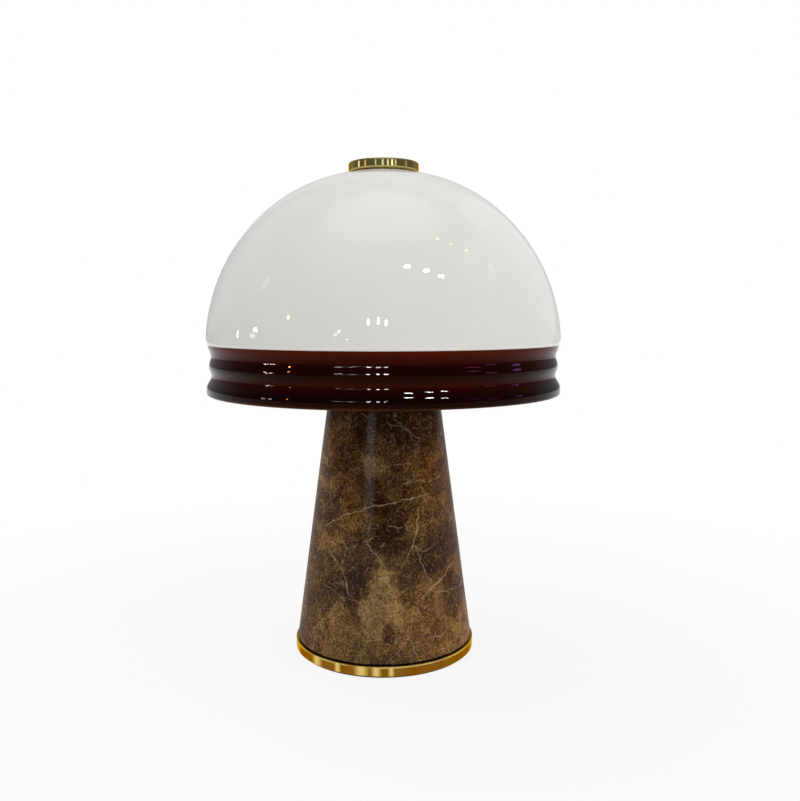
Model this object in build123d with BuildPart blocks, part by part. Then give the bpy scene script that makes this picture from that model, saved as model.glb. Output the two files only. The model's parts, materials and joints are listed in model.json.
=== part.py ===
from build123d import *
import os
from math import asin, cos, sin, sqrt

# A mushroom table lamp: a glass shade of opal dome and ribbed amber band on a turned marble cone.
# Sizes are in millimetres. The table is z = 0, +Z is up and the front looks along -Y.
# Nearly every piece stands on the lamp's centre line, so its place is a height and a few diameters.

os.makedirs("parts", exist_ok=True)

# Fits
slip = 0.05
spigot_clearance = 0.2
screw_clearance = 0.1

# Foot
felt_thickness = 2.0
felt_inset = 3.0
felt_opening_diameter = 60.0
foot_diameter = 184.0
foot_thickness = 10.0
foot_edge_round = 0.8
gasket_thickness = 0.8
gasket_inset = 2.2
spigot_depth = 5.0

# Marble body and the brass cap on it
marble_base_diameter = 180.0
marble_top_diameter = 110.0
marble_height = 260.7
marble_bore_diameter = 46.0
marble_edge_round = 1.0
cap_diameter = 96.0
cap_thickness = 5.0
cap_edge_round = 0.8

# Tie rods that clamp the marble between the foot and the cap
tie_circle_diameter = 34.0
tie_diameter = 6.0
tie_recess_diameter = 16.0
tie_recess_depth = 8.0
tie_washer_diameter = 14.0
tie_washer_thickness = 1.5
tie_nut_across_flats = 10.0
tie_nut_height = 5.0
tie_tail = 0.8
tie_cover = 2.0

# Cord inlet at the back
inlet_height = 40.0
bush_bore_diameter = 7.5
bush_barrel_diameter = 11.0
bush_barrel_length = 22.0
bush_flange_diameter = 17.0
bush_flange_thickness = 2.5
bush_flange_proud = 0.8
bush_edge_round = 0.8
spot_face_clearance = 0.4
spot_face_reach = 12.0

# Terminal block on the foot's spigot
block_width = 22.0
block_depth = 11.0
block_height = 14.0
block_back_offset = 10.0
block_edge_round = 1.2
port_spacing = 13.0
port_depth = 8.0
cord_port_rise = 4.0
cord_port_depth = 4.0
cord_port_diameter = 3.0
block_screw_diameter = 3.0
block_screw_head_diameter = 5.6
block_screw_head_height = 2.0
block_screw_grip = 6.0

# Stem
stem_diameter = 16.0
stem_bore_diameter = 8.0
stem_length = 73.5
stem_socket_depth = 3.0
stem_tail = 2.0
stem_nut_across_flats = 22.0
stem_nut_height = 5.0
collar_diameter = 30.0
collar_height = 7.0
collar_edge_round = 1.2

# Hub that carries the two lamps
hub_diameter = 34.0
hub_height = 28.0
hub_wall = 4.0
hub_floor = 5.0
hub_edge_round = 1.0
hub_lid_thickness = 4.0
hub_lid_spigot = 2.0
lamp_axis_rise = 14.0
boss_diameter = 18.0
boss_reach = 21.0
nipple_diameter = 10.0
nipple_bore_diameter = 7.0
nipple_start = 12.0
nipple_nut_across_flats = 14.0
nipple_nut_height = 4.0
nipple_tail = 1.0

# Lamp holders, measured outwards along each lamp's axis
holder_diameter = 27.0
holder_cap_length = 15.0
holder_cap_wall = 1.5
holder_spigot = 6.0
holder_body_length = 34.0
holder_mouth_diameter = 21.0
holder_mouth_depth = 9.0
holder_edge = 1.0
shell_wall = 0.6
shell_length = 19.0
contact_diameter = 5.0
contact_length = 6.0
contact_reach = 2.0

# Bulbs
bulb_thread_diameter = 14.0
bulb_cap_length = 19.0
bulb_cap_wall = 0.5
bulb_cap_edge = 1.2
bulb_cap_flare_length = 2.0
bulb_cap_lip = 2.0
bulb_neck_diameter = 16.0
bulb_neck_round = 9.0
bulb_globe_diameter = 45.0
bulb_length = 76.0
bulb_glass_wall = 0.9
tip_button_diameter = 4.4
tip_button_height = 1.2
tip_body_diameter = 8.0
tip_body_height = 3.0
tip_body_stand = 1.0

# Leads from the terminal block to the holders
lead_diameter = 2.8
lead_offset = 1.7
lead_bend = 7.0
lead_sway = 60.0
lead_rise = 38.0
lead_gather = 30.0

# Crown rod and the seat that carries the glass
rod_diameter = 10.0
rod_tail = 1.0
rod_free_length = 78.7
rod_nut_across_flats = 16.0
rod_nut_height = 6.0
seat_disc_diameter = 60.0
seat_disc_thickness = 3.0
seat_washer_diameter = 52.0
seat_washer_thickness = 1.5
washer_clearance = 2.0

# Opal dome. Its meridian is a superellipse: (radius / half width)^dome_round plus
# (height / rise)^dome_crown is 1. It ends in a flat land under the finial.
shade_diameter = 354.4
dome_rise = 171.0
dome_round = 2.19
dome_crown = 1.873
dome_wall = 4.0
dome_rim_round = 1.4
crown_land_diameter = 66.0
crown_hole_diameter = 14.0
meridian_steps = 12

# Amber band: how far each groove and rib lies below the seam, and inside the dome's edge
band_wall = 5.0
band_height = 49.0
seam_step = 1.7
seam_flare = 0.6
upper_groove_drop = 11.0
upper_groove_inset = 4.6
upper_rib_drop = 21.0
upper_rib_inset = 2.6
lower_groove_drop = 30.0
lower_groove_inset = 4.9
lower_rib_drop = 42.5
lower_rib_inset = -0.1

# Finial
finial_diameter = 69.8
finial_thickness = 9.6
finial_edge_round = 2.0
finial_bore_depth = 7.5
finial_end_gap = 1.0
finial_washer_diameter = 60.0
finial_washer_thickness = 1.0

# Heights of the faces that stack on each other, from the table up
foot_top = felt_thickness + foot_thickness
marble_bottom = foot_top + gasket_thickness
foot_spigot_top = marble_bottom + spigot_depth
marble_top = marble_bottom + marble_height
cap_spigot_bottom = marble_top - spigot_depth
cap_top = marble_top + cap_thickness
stem_nut_bottom = cap_spigot_bottom - stem_nut_height
stem_bottom = stem_nut_bottom - stem_tail
hub_bottom = cap_top + stem_length
lamp_height = hub_bottom + lamp_axis_rise
hub_top = hub_bottom + hub_height
lid_top = hub_top + hub_lid_thickness
inner_nut_bottom = hub_top - hub_lid_spigot - rod_nut_height
rod_bottom = inner_nut_bottom - rod_tail
seat_nut_bottom = lid_top + rod_nut_height + rod_free_length
seat_disc_bottom = seat_nut_bottom + rod_nut_height
seat_washer_bottom = seat_disc_bottom + seat_disc_thickness
crown_underside = seat_washer_bottom + seat_washer_thickness
crown_top = crown_underside + dome_wall
finial_bottom = crown_top + finial_washer_thickness
rod_top = finial_bottom + finial_bore_depth - finial_end_gap

# The seam hangs below the crown by the meridian's height at the edge of the land
crown_share = crown_land_diameter / shade_diameter
crown_rise = dome_rise * (1 - crown_share**dome_round) ** (1 / dome_crown)
seam_height = crown_top - crown_rise

# Stations along a lamp's axis, outwards from the centre line
holder_cap_floor = boss_reach + holder_cap_wall
holder_cap_front = boss_reach + holder_cap_length
holder_back = holder_cap_front - holder_spigot
holder_front = holder_cap_front + holder_body_length
mouth_floor = holder_front - holder_mouth_depth
shell_seat = mouth_floor - shell_length
contact_front = shell_seat + contact_reach
contact_back = contact_front - contact_length
nipple_end = holder_cap_floor + nipple_nut_height + nipple_tail
tip_body_start = contact_front + tip_button_height
bulb_cap_start = tip_body_start + tip_body_stand
bulb_cap_end = bulb_cap_start + bulb_cap_length
bulb_flare_end = bulb_cap_end - bulb_cap_lip
bulb_flare_start = bulb_flare_end - bulb_cap_flare_length
globe_centre = contact_front + bulb_length - bulb_globe_diameter / 2

# Radii that several pieces share
shell_inner_radius = bulb_thread_diameter / 2 + slip
shell_outer_radius = shell_inner_radius + shell_wall
contact_hole_radius = contact_diameter / 2 + slip
cap_inner_radius = holder_diameter / 2 - holder_cap_wall

centre = ((0, 0),)
both_sides = {"left": -1, "right": 1}
tie_places = [(side * tie_circle_diameter / 2, 0) for side in both_sides.values()]


def write(piece, name):
    """Labels a finished piece and writes it to its own file."""
    piece.part.label = name
    export_step(piece.part, f"parts/{name}.step")


def ring(outer_diameter, inner_diameter, bottom, height, places=centre):
    """Flat rings, tubes and washers that stand at the height `bottom`."""
    with BuildPart() as piece:
        with BuildSketch(Plane.XY.offset(bottom)):
            with Locations(*places):
                Circle(outer_diameter / 2)
                Circle(inner_diameter / 2, mode=Mode.SUBTRACT)
        extrude(amount=height)
    return piece


def rods(diameter, bottom, top, places=centre):
    """Round rods between two heights."""
    with BuildPart() as piece:
        with BuildSketch(Plane.XY.offset(bottom)):
            with Locations(*places):
                Circle(diameter / 2)
        extrude(amount=top - bottom)
    return piece


def hex_nuts(across_flats, bore_diameter, base, height, places=centre):
    """Hexagon nuts that stand on a plane, with plain bores for their threads."""
    with BuildPart() as piece:
        with BuildSketch(base):
            with Locations(*places):
                RegularPolygon(across_flats / 2, 6, major_radius=False)
                Circle(bore_diameter / 2, mode=Mode.SUBTRACT)
        extrude(amount=height)
    return piece


def turned(outline, plane, axis):
    """A piece turned about an axis from its closed outline of straight lines."""
    with BuildPart() as piece:
        with BuildSketch(plane):
            with BuildLine():
                Polyline(*outline, close=True)
            make_face()
        revolve(axis=axis)
    return piece


def group(*pieces):
    """Equal fasteners that share one node, as separate solids."""
    with BuildPart() as together:
        for piece in pieces:
            add(piece.part)
    return together


def marble_radius(height):
    """The cone's radius at a height above the table."""
    taper = (marble_base_diameter - marble_top_diameter) / 2 / marble_height
    return marble_base_diameter / 2 - taper * (height - marble_bottom)


def dome_meridian(half_width, rise, top):
    """Points of the superellipse from the seam up to `top` above it, as radius and height."""
    last_turn = asin((top / rise) ** (dome_crown / 2))
    turns = [last_turn * step / meridian_steps for step in range(meridian_steps + 1)]
    radii = [half_width * cos(turn) ** (2 / dome_round) for turn in turns]
    heights = [seam_height + rise * sin(turn) ** (2 / dome_crown) for turn in turns]
    return list(zip(radii, heights))


def band_waves(wall):
    """The seam edge, grooves and ribs of the band, `wall` inside its outer face."""
    edge = shade_diameter / 2 - wall
    return [
        (edge - seam_step, seam_height),
        (edge - upper_groove_inset, seam_height - upper_groove_drop),
        (edge - upper_rib_inset, seam_height - upper_rib_drop),
        (edge - lower_groove_inset, seam_height - lower_groove_drop),
        (edge - lower_rib_inset, seam_height - lower_rib_drop),
    ]


def bulb_outline(plane, wall):
    """Half of a globe bulb's section: neck, round shoulder and globe, `wall` inside its outer face."""
    neck = bulb_neck_diameter / 2 - wall
    globe = bulb_globe_diameter / 2 - wall
    start = bulb_flare_end + slip
    shoulder = globe_centre - sqrt(globe**2 - neck**2)
    with BuildSketch(plane) as outline:
        with BuildLine():
            Polyline((0, globe_centre + globe), (0, start), (neck, start), (neck, shoulder))
            ThreePointArc((neck, shoulder), (globe, globe_centre), (0, globe_centre + globe))
        make_face()
        corner = outline.vertices().sort_by_distance((neck, shoulder))[0]
        fillet(corner, bulb_neck_round + wall)
    return outline.sketch


# Felt pad
felt_pad = ring(foot_diameter - 2 * felt_inset, felt_opening_diameter, 0, felt_thickness)
write(felt_pad, "felt_pad")

# Brass foot with a spigot into the marble and a recess for each tie nut
with BuildPart() as foot_disc:
    with BuildSketch(Plane.XY.offset(felt_thickness)):
        Circle(foot_diameter / 2)
    extrude(amount=foot_thickness)
    fillet(foot_disc.edges().filter_by(GeomType.CIRCLE), foot_edge_round)
    with BuildSketch(Plane.XY.offset(foot_top)):
        Circle(marble_bore_diameter / 2 - spigot_clearance)
    extrude(amount=gasket_thickness + spigot_depth)
    with BuildSketch(Plane.XY.offset(felt_thickness)):
        with Locations(*tie_places):
            Circle(tie_recess_diameter / 2)
    extrude(amount=tie_recess_depth, mode=Mode.SUBTRACT)
    with BuildSketch(Plane.XY.offset(felt_thickness)):
        with Locations(*tie_places):
            Circle(tie_diameter / 2 + screw_clearance)
    extrude(amount=foot_spigot_top - felt_thickness, mode=Mode.SUBTRACT)
    with BuildSketch(Plane.XY.offset(foot_spigot_top)):
        with Locations((0, block_back_offset)):
            Circle(block_screw_diameter / 2 + slip)
    extrude(amount=-block_screw_grip - screw_clearance, mode=Mode.SUBTRACT)
write(foot_disc, "foot_disc")

# Dark gasket, set back so that it reads as a thin shadow line
gasket_diameter = marble_base_diameter - 2 * gasket_inset
base_gasket = ring(gasket_diameter, marble_bore_diameter, foot_top, gasket_thickness)
write(base_gasket, "base_gasket")

# Marble cone, bored through, with a spot-faced hole for the cord bush at the back
bush_seat = marble_radius(inlet_height) + bush_flange_proud - bush_flange_thickness
bush_plane = Plane(origin=(0, bush_seat, inlet_height), z_dir=(0, 1, 0))
with BuildPart() as marble_body:
    with BuildSketch(Plane.XZ) as marble_outline:
        with BuildLine():
            Polyline(
                (marble_bore_diameter / 2, marble_bottom),
                (marble_base_diameter / 2, marble_bottom),
                (marble_top_diameter / 2, marble_top),
                (marble_bore_diameter / 2, marble_top),
                close=True,
            )
        make_face()
        fillet(marble_outline.vertices().sort_by(Axis.X)[-2:], marble_edge_round)
    revolve(axis=Axis.Z)
    with BuildSketch(bush_plane):
        Circle(bush_flange_diameter / 2 + spot_face_clearance)
    extrude(amount=spot_face_reach, mode=Mode.SUBTRACT)
    with BuildSketch(bush_plane):
        Circle(bush_barrel_diameter / 2 + slip)
    extrude(amount=-bush_seat, mode=Mode.SUBTRACT)
write(marble_body, "marble_body")

# Cord bush
with BuildPart() as cord_bush:
    with BuildSketch(bush_plane):
        Circle(bush_flange_diameter / 2)
    extrude(amount=bush_flange_thickness)
    fillet(cord_bush.edges().sort_by(Axis.Y)[-1], bush_edge_round)
    with BuildSketch(bush_plane):
        Circle(bush_barrel_diameter / 2)
    extrude(amount=-bush_barrel_length)
    with BuildSketch(bush_plane):
        Circle(bush_bore_diameter / 2)
    extrude(amount=bush_barrel_length + bush_flange_thickness, both=True, mode=Mode.SUBTRACT)
write(cord_bush, "cord_bush")

# Terminal block: two ports for the leads on top, two for the cord at the back, one screw down the middle
block_top = foot_spigot_top + block_height
port_places = [(side * port_spacing / 2, block_back_offset) for side in both_sides.values()]
block_back = Plane(
    origin=(0, block_back_offset + block_depth / 2, foot_spigot_top + cord_port_rise), z_dir=(0, 1, 0)
)
with BuildPart() as terminal_block:
    with BuildSketch(Plane.XY.offset(foot_spigot_top)):
        with Locations((0, block_back_offset)):
            RectangleRounded(block_width, block_depth, block_edge_round)
    extrude(amount=block_height)
    with BuildSketch(Plane.XY.offset(block_top)):
        with Locations(*port_places):
            Circle(lead_diameter / 2 + screw_clearance)
    extrude(amount=-port_depth, mode=Mode.SUBTRACT)
    with BuildSketch(block_back):
        with Locations((-port_spacing / 2, 0), (port_spacing / 2, 0)):
            Circle(cord_port_diameter / 2)
    extrude(amount=-cord_port_depth, mode=Mode.SUBTRACT)
    with BuildSketch(Plane.XY.offset(block_top)):
        with Locations((0, block_back_offset)):
            Circle(block_screw_diameter / 2 + screw_clearance)
    extrude(amount=-block_height, mode=Mode.SUBTRACT)
write(terminal_block, "terminal_block")

# Screw that holds the block to the foot
with BuildPart() as block_screw:
    with BuildSketch(Plane.XY.offset(block_top)):
        with Locations((0, block_back_offset)):
            Circle(block_screw_head_diameter / 2)
    extrude(amount=block_screw_head_height)
    with BuildSketch(Plane.XY.offset(block_top)):
        with Locations((0, block_back_offset)):
            Circle(block_screw_diameter / 2)
    extrude(amount=-block_height - block_screw_grip)
write(block_screw, "block_screw")

# Brass cap with a spigot into the marble, blind holes for the tie rods and a way through for the stem
with BuildPart() as marble_cap:
    with BuildSketch(Plane.XY.offset(marble_top)):
        Circle(cap_diameter / 2)
    extrude(amount=cap_thickness)
    fillet(marble_cap.edges().sort_by(Axis.Z)[-1], cap_edge_round)
    with BuildSketch(Plane.XY.offset(marble_top)):
        Circle(marble_bore_diameter / 2 - spigot_clearance)
    extrude(amount=-spigot_depth)
    with BuildSketch(Plane.XY.offset(cap_spigot_bottom)):
        Circle(stem_diameter / 2 + slip)
    extrude(amount=spigot_depth + cap_thickness, mode=Mode.SUBTRACT)
    with BuildSketch(Plane.XY.offset(cap_spigot_bottom)):
        with Locations(*tie_places):
            Circle(tie_diameter / 2 + slip)
    extrude(amount=spigot_depth + cap_thickness - tie_cover, mode=Mode.SUBTRACT)
write(marble_cap, "marble_cap")

# Tie rods with their washers and nuts in the foot's recesses
tie_seat = felt_thickness + tie_recess_depth
tie_nut_bottom = tie_seat - tie_washer_thickness - tie_nut_height
tie_hole_diameter = tie_diameter + 2 * slip
tie_rods = rods(tie_diameter, tie_nut_bottom - tie_tail, cap_top - tie_cover, tie_places)
write(tie_rods, "tie_rods")
tie_washers = ring(
    tie_washer_diameter, tie_hole_diameter, tie_seat - tie_washer_thickness, tie_washer_thickness, tie_places
)
write(tie_washers, "tie_washers")
tie_nuts = hex_nuts(
    tie_nut_across_flats, tie_hole_diameter, Plane.XY.offset(tie_nut_bottom), tie_nut_height, tie_places
)
write(tie_nuts, "tie_nuts")

# Stem tube, held to the cap by a nut below and a collar above
stem_top = hub_bottom + stem_socket_depth
stem_hole_diameter = stem_diameter + 2 * slip
stem_tube = ring(stem_diameter, stem_bore_diameter, stem_bottom, stem_top - stem_bottom)
write(stem_tube, "stem_tube")
stem_nut = hex_nuts(
    stem_nut_across_flats, stem_hole_diameter, Plane.XY.offset(stem_nut_bottom), stem_nut_height
)
write(stem_nut, "stem_nut")
with BuildPart() as stem_collar:
    with BuildSketch(Plane.XY.offset(cap_top)):
        Circle(collar_diameter / 2)
    extrude(amount=collar_height)
    fillet(stem_collar.edges().sort_by(Axis.Z)[-1], collar_edge_round)
    with BuildSketch(Plane.XY.offset(cap_top)):
        Circle(stem_hole_diameter / 2)
    extrude(amount=collar_height, mode=Mode.SUBTRACT)
write(stem_collar, "stem_collar")

# Hub: a cup on the stem with a boss on each side for a lamp
with BuildPart() as hub_body:
    with BuildSketch(Plane.XY.offset(hub_bottom)):
        Circle(hub_diameter / 2)
    extrude(amount=hub_height)
    fillet(hub_body.edges().sort_by(Axis.Z)[0], hub_edge_round)
    with BuildSketch(Plane.YZ):
        with Locations((0, lamp_height)):
            Circle(boss_diameter / 2)
    extrude(amount=boss_reach, both=True)
    with BuildSketch(Plane.XY.offset(hub_bottom + hub_floor)):
        Circle(hub_diameter / 2 - hub_wall)
    extrude(amount=hub_height - hub_floor, mode=Mode.SUBTRACT)
    with BuildSketch(Plane.XY.offset(hub_bottom)):
        Circle(stem_diameter / 2 + slip)
    extrude(amount=stem_socket_depth, mode=Mode.SUBTRACT)
    with BuildSketch(Plane.XY.offset(hub_bottom)):
        Circle(stem_bore_diameter / 2)
    extrude(amount=hub_floor, mode=Mode.SUBTRACT)
    with BuildSketch(Plane.YZ):
        with Locations((0, lamp_height)):
            Circle(nipple_diameter / 2 + slip)
    extrude(amount=boss_reach, both=True, mode=Mode.SUBTRACT)
write(hub_body, "hub_body")

# Lid of the hub
with BuildPart() as hub_lid:
    with BuildSketch(Plane.XY.offset(hub_top)):
        Circle(hub_diameter / 2)
    extrude(amount=hub_lid_thickness)
    fillet(hub_lid.edges().sort_by(Axis.Z)[-1], hub_edge_round)
    with BuildSketch(Plane.XY.offset(hub_top)):
        Circle(hub_diameter / 2 - hub_wall - slip)
    extrude(amount=-hub_lid_spigot)
    with BuildSketch(Plane.XY.offset(lid_top)):
        Circle(rod_diameter / 2 + slip)
    extrude(amount=-hub_lid_thickness - hub_lid_spigot, mode=Mode.SUBTRACT)
write(hub_lid, "hub_lid")

# Crown rod, locked in the lid by a nut inside the hub and one on top
rod_hole_diameter = rod_diameter + 2 * slip
crown_rod = rods(rod_diameter, rod_bottom, rod_top)
write(crown_rod, "crown_rod")
rod_nuts = group(
    hex_nuts(rod_nut_across_flats, rod_hole_diameter, Plane.XY.offset(inner_nut_bottom), rod_nut_height),
    hex_nuts(rod_nut_across_flats, rod_hole_diameter, Plane.XY.offset(lid_top), rod_nut_height),
)
write(rod_nuts, "rod_nuts")

# Seat of the glass: nut, disc and soft washer
seat_nut = hex_nuts(
    rod_nut_across_flats, rod_hole_diameter, Plane.XY.offset(seat_nut_bottom), rod_nut_height
)
write(seat_nut, "seat_nut")
seat_disc = ring(seat_disc_diameter, rod_hole_diameter, seat_disc_bottom, seat_disc_thickness)
write(seat_disc, "seat_disc")
washer_hole_diameter = rod_diameter + 2 * washer_clearance
seat_washer = ring(seat_washer_diameter, washer_hole_diameter, seat_washer_bottom, seat_washer_thickness)
write(seat_washer, "seat_washer")

# The two lamps, left and right: holder, contacts, lead and bulb
nipples = []
nipple_nut_pieces = []
for name, side in both_sides.items():
    axis = Axis((0, 0, lamp_height), (side, 0, 0))
    section = Plane(origin=(0, 0, lamp_height), x_dir=(0, 0, 1), z_dir=(0, side, 0))
    nut_base = Plane(origin=(side * holder_cap_floor, 0, lamp_height), z_dir=(side, 0, 0))

    # Threaded nipple and its nut inside the holder's cap
    nipple_radius = nipple_diameter / 2
    nipple_bore_radius = nipple_bore_diameter / 2
    nipples.append(
        turned(
            [
                (nipple_bore_radius, nipple_start),
                (nipple_radius, nipple_start),
                (nipple_radius, nipple_end),
                (nipple_bore_radius, nipple_end),
            ],
            section,
            axis,
        )
    )
    nipple_nut_pieces.append(
        hex_nuts(nipple_nut_across_flats, nipple_diameter + 2 * slip, nut_base, nipple_nut_height)
    )

    # Holder cap
    holder_radius = holder_diameter / 2
    nipple_hole_radius = nipple_radius + slip
    holder_cap = turned(
        [
            (nipple_hole_radius, boss_reach),
            (holder_radius - holder_edge, boss_reach),
            (holder_radius, boss_reach + holder_edge),
            (holder_radius, holder_cap_front),
            (cap_inner_radius, holder_cap_front),
            (cap_inner_radius, holder_cap_floor),
            (nipple_hole_radius, holder_cap_floor),
        ],
        section,
        axis,
    )
    write(holder_cap, f"holder_cap_{name}")

    # Holder body, with a hole for the contact, a bore for the screw shell and an open mouth
    holder_body = turned(
        [
            (contact_hole_radius, holder_back),
            (cap_inner_radius - slip, holder_back),
            (cap_inner_radius - slip, holder_cap_front),
            (holder_radius, holder_cap_front),
            (holder_radius, holder_front - holder_edge),
            (holder_radius - holder_edge, holder_front),
            (holder_mouth_diameter / 2, holder_front),
            (holder_mouth_diameter / 2, mouth_floor),
            (shell_outer_radius + slip, mouth_floor),
            (shell_outer_radius + slip, shell_seat),
            (contact_hole_radius, shell_seat),
        ],
        section,
        axis,
    )
    write(holder_body, f"holder_body_{name}")

    # Screw shell
    screw_shell = turned(
        [
            (shell_inner_radius, shell_seat),
            (shell_outer_radius, shell_seat),
            (shell_outer_radius, mouth_floor),
            (shell_inner_radius, mouth_floor),
        ],
        section,
        axis,
    )
    write(screw_shell, f"screw_shell_{name}")

    # Centre contact
    contact_radius = contact_diameter / 2
    centre_contact = turned(
        [(0, contact_back), (contact_radius, contact_back), (contact_radius, contact_front), (0, contact_front)],
        section,
        axis,
    )
    write(centre_contact, f"centre_contact_{name}")

    # Lead from the block, up the stem and out to the contact
    with BuildPart() as lamp_lead:
        with BuildLine() as route:
            FilletPolyline(
                (side * port_spacing / 2, block_back_offset, block_top - port_depth),
                (side * port_spacing / 2, block_back_offset, block_top + lead_rise),
                (side * lead_offset, 0, stem_bottom - lead_gather),
                (side * lead_offset, 0, lamp_height),
                (side * contact_back, 0, lamp_height),
                radius=[lead_sway, lead_sway, lead_bend],
            )
        with BuildSketch(Plane(origin=route.line @ 0, z_dir=route.line % 0)):
            Circle(lead_diameter / 2)
        sweep(path=route.line)
    write(lamp_lead, f"lamp_lead_{name}")

    # Bulb: contact tip, screw cap and hollow globe
    tip_body_end = tip_body_start + tip_body_height
    bulb_tip = turned(
        [
            (0, contact_front),
            (tip_button_diameter / 2, contact_front),
            (tip_button_diameter / 2, tip_body_start),
            (tip_body_diameter / 2, bulb_cap_start),
            (tip_body_diameter / 2, tip_body_end),
            (0, tip_body_end),
        ],
        section,
        axis,
    )
    write(bulb_tip, f"bulb_tip_{name}")
    thread_radius = bulb_thread_diameter / 2
    lip_inner_radius = bulb_neck_diameter / 2 + slip
    tip_hole_radius = tip_body_diameter / 2 + slip
    bulb_cap = turned(
        [
            (tip_hole_radius, bulb_cap_start),
            (thread_radius - bulb_cap_edge, bulb_cap_start),
            (thread_radius, bulb_cap_start + bulb_cap_edge),
            (thread_radius, bulb_flare_start),
            (lip_inner_radius + bulb_cap_wall, bulb_flare_end),
            (lip_inner_radius + bulb_cap_wall, bulb_cap_end),
            (lip_inner_radius, bulb_cap_end),
            (lip_inner_radius, bulb_flare_end),
            (thread_radius - bulb_cap_wall, bulb_flare_start),
            (thread_radius - bulb_cap_wall, bulb_cap_start + bulb_cap_edge),
            (tip_hole_radius, bulb_cap_start + bulb_cap_edge),
        ],
        section,
        axis,
    )
    write(bulb_cap, f"bulb_cap_{name}")
    with BuildPart() as bulb_glass:
        revolve(bulb_outline(section, 0), axis=axis)
        revolve(bulb_outline(section, bulb_glass_wall), axis=axis, mode=Mode.SUBTRACT)
    write(bulb_glass, f"bulb_glass_{name}")

hub_nipples = group(*nipples)
write(hub_nipples, "hub_nipples")
nipple_nuts = group(*nipple_nut_pieces)
write(nipple_nuts, "nipple_nuts")

# Opal dome: outer and inner meridians joined at the seam and round the crown's hole
half_shade = shade_diameter / 2
hole_radius = crown_hole_diameter / 2
outer_meridian = dome_meridian(half_shade, dome_rise, crown_rise)
inner_meridian = dome_meridian(half_shade - dome_wall, dome_rise - dome_wall, crown_rise - dome_wall)
with BuildPart() as opal_dome:
    with BuildSketch(Plane.XZ) as dome_outline:
        with BuildLine():
            Spline(*outer_meridian)
            Polyline(
                outer_meridian[-1],
                (hole_radius, crown_top),
                (hole_radius, crown_underside),
                inner_meridian[-1],
            )
            Spline(*inner_meridian)
            Line(inner_meridian[0], outer_meridian[0])
        make_face()
        seam_edge = dome_outline.vertices().sort_by_distance(outer_meridian[0])[0]
        fillet(seam_edge, dome_rim_round)
    revolve(axis=Axis.Z)
write(opal_dome, "opal_dome")

# Amber band: a wavy wall that ends in a round rim
band_outer = band_waves(0)
band_inner = band_waves(band_wall)
rim_centre = seam_height - band_height + band_wall / 2
rim_outer = (band_outer[-1][0], rim_centre)
rim_inner = (band_inner[-1][0], rim_centre)
rim_bottom = (band_outer[-1][0] - band_wall / 2, seam_height - band_height)
wave_tangents = [(-seam_flare, -1)] + [(0, -1)] * (len(band_outer) - 1)
with BuildPart() as amber_band:
    with BuildSketch(Plane.XZ):
        with BuildLine():
            Spline(*band_outer, tangents=wave_tangents)
            Line(band_outer[-1], rim_outer)
            ThreePointArc(rim_outer, rim_bottom, rim_inner)
            Line(rim_inner, band_inner[-1])
            Spline(*band_inner, tangents=wave_tangents)
            Line(band_inner[0], band_outer[0])
        make_face()
    revolve(axis=Axis.Z)
write(amber_band, "amber_band")

# Washer between the glass and the finial
finial_washer = ring(finial_washer_diameter, washer_hole_diameter, crown_top, finial_washer_thickness)
write(finial_washer, "finial_washer")

# Brass finial that screws down on the crown rod
with BuildPart() as finial_disc:
    with BuildSketch(Plane.XY.offset(finial_bottom)):
        Circle(finial_diameter / 2)
    extrude(amount=finial_thickness)
    fillet(finial_disc.edges().filter_by(GeomType.CIRCLE), finial_edge_round)
    with BuildSketch(Plane.XY.offset(finial_bottom)):
        Circle(rod_diameter / 2 + slip)
    extrude(amount=finial_bore_depth, mode=Mode.SUBTRACT)
write(finial_disc, "finial_disc")
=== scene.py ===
import json
from math import asin, cos, pi, radians, sin, tan

import bpy
import numpy as np
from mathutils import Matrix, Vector


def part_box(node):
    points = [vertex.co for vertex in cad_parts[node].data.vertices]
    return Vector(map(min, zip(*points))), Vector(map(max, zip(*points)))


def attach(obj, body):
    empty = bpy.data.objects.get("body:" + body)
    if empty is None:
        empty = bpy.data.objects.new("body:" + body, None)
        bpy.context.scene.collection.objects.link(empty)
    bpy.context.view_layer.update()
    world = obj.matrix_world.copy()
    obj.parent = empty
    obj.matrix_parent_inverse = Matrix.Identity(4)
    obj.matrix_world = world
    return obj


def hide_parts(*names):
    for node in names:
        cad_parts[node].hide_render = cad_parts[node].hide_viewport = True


# A mushroom lamp: an opal glass dome with a ribbed amber band, on a polished marble cone with a brass foot.
# Lengths are in metres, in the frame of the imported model: z = 0 is the table and the front looks along -Y.

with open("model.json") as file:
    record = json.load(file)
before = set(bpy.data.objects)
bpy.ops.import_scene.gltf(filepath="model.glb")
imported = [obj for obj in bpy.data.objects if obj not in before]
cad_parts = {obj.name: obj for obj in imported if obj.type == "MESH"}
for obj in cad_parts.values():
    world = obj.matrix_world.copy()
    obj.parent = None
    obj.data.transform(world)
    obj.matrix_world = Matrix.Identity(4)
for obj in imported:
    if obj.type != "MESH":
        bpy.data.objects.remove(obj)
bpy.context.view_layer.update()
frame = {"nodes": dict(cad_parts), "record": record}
mm = 0.001

# Dome: its meridian is (radius / half width)^dome_round + (height / rise)^dome_crown = 1
dome_rise = 171 * mm
dome_round = 2.19
dome_crown = 1.873
dome_wall = 4 * mm
dome_rim_round = 1.4 * mm
crown_hole_radius = 7 * mm
dome_ripple = 0.10 * mm

# Band: its waves are the drop below the seam and the inset from the dome's edge of each groove and rib
band_wall = 5 * mm
band_height = 49 * mm
band_waves = np.array([(0, 1.7), (11, 4.6), (21, 2.6), (30, 4.9), (42.5, -0.1)]) * mm
seam_lap = 0.3 * mm

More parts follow.
